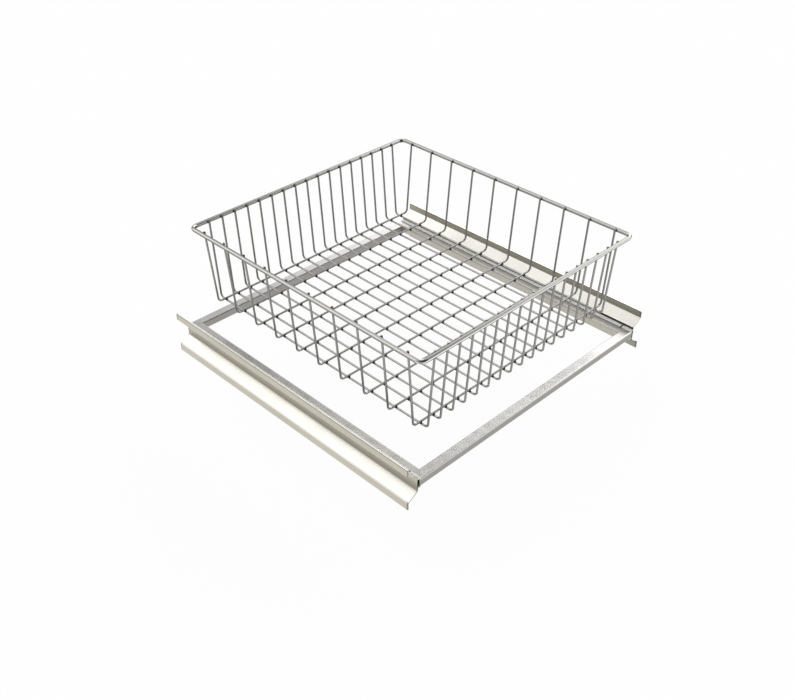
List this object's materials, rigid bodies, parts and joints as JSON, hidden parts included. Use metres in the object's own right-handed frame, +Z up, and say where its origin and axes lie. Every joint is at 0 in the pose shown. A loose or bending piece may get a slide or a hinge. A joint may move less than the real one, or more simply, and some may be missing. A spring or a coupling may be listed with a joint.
{
  "type": "pull-out wardrobe basket",
  "caption": "Shallow wire basket that drops into a rectangular tube frame; the frame pulls out between two sheet-steel wall rails.",
  "frame": {"origin": "on the surface that the rails stand on, midway between their walls and midway along them", "axes": "+X to the right between the walls, -Y out of the wardrobe towards the user, +Z up"},
  "size_m": [0.562, 0.551, 0.233],
  "materials": {
    "basket_wire": "bright drawn wire",
    "basket_rim_rod": "bright drawn rod",
    "frame_tube": "brushed",
    "rail_sheet": "bright mill",
    "runner_plastic": "white extruded",
    "rivet_steel": "bright",
    "glide_nylon": "matt white"
  },
  "bodies": {
    "rails": {"left_rail": "rail_sheet", "left_runner": "runner_plastic", "left_front_shoe": "glide_nylon", "right_rail": "rail_sheet", "right_runner": "runner_plastic", "right_front_shoe": "glide_nylon"},
    "frame": {"frame_front_bar": "frame_tube", "frame_rear_bar": "frame_tube", "frame_left_bar": "frame_tube", "frame_right_bar": "frame_tube", "left_rear_pad": "glide_nylon", "right_rear_pad": "glide_nylon", "frame_stop_rivets": "rivet_steel"},
    "basket": {"basket_rim": "basket_rim_rod", "basket_long_wire_01": "basket_wire", "basket_long_wire_02": "basket_wire", "basket_long_wire_03": "basket_wire", "basket_long_wire_04": "basket_wire", "basket_long_wire_05": "basket_wire", "basket_long_wire_06": "basket_wire", "basket_long_wire_07": "basket_wire", "basket_long_wire_08": "basket_wire", "basket_long_wire_09": "basket_wire", "basket_long_wire_10": "basket_wire", "basket_long_wire_11": "basket_wire", "basket_long_wire_12": "basket_wire", "basket_long_wire_13": "basket_wire", "basket_long_wire_14": "basket_wire", "basket_long_wire_15": "basket_wire", "basket_long_wire_16": "basket_wire", "basket_long_wire_17": "basket_wire", "basket_cross_wire_01": "basket_wire", "basket_cross_wire_02": "basket_wire", "basket_cross_wire_03": "basket_wire", "basket_cross_wire_04": "basket_wire", "basket_cross_wire_05": "basket_wire", "basket_cross_wire_06": "basket_wire", "basket_cross_wire_07": "basket_wire", "basket_cross_wire_08": "basket_wire", "basket_cross_wire_09": "basket_wire", "basket_cross_wire_10": "basket_wire"}
  },
  "joints": [
    {"name": "frame_slide", "type": "slide", "parent": "rails", "child": "frame", "axis": [0, -1, 0], "range_m": [0, 0.365]},
    {"name": "basket_lift", "type": "slide", "parent": "frame", "child": "basket", "axis": [0, 0, 1], "range_m": [-0.182, 0]}
  ]
}
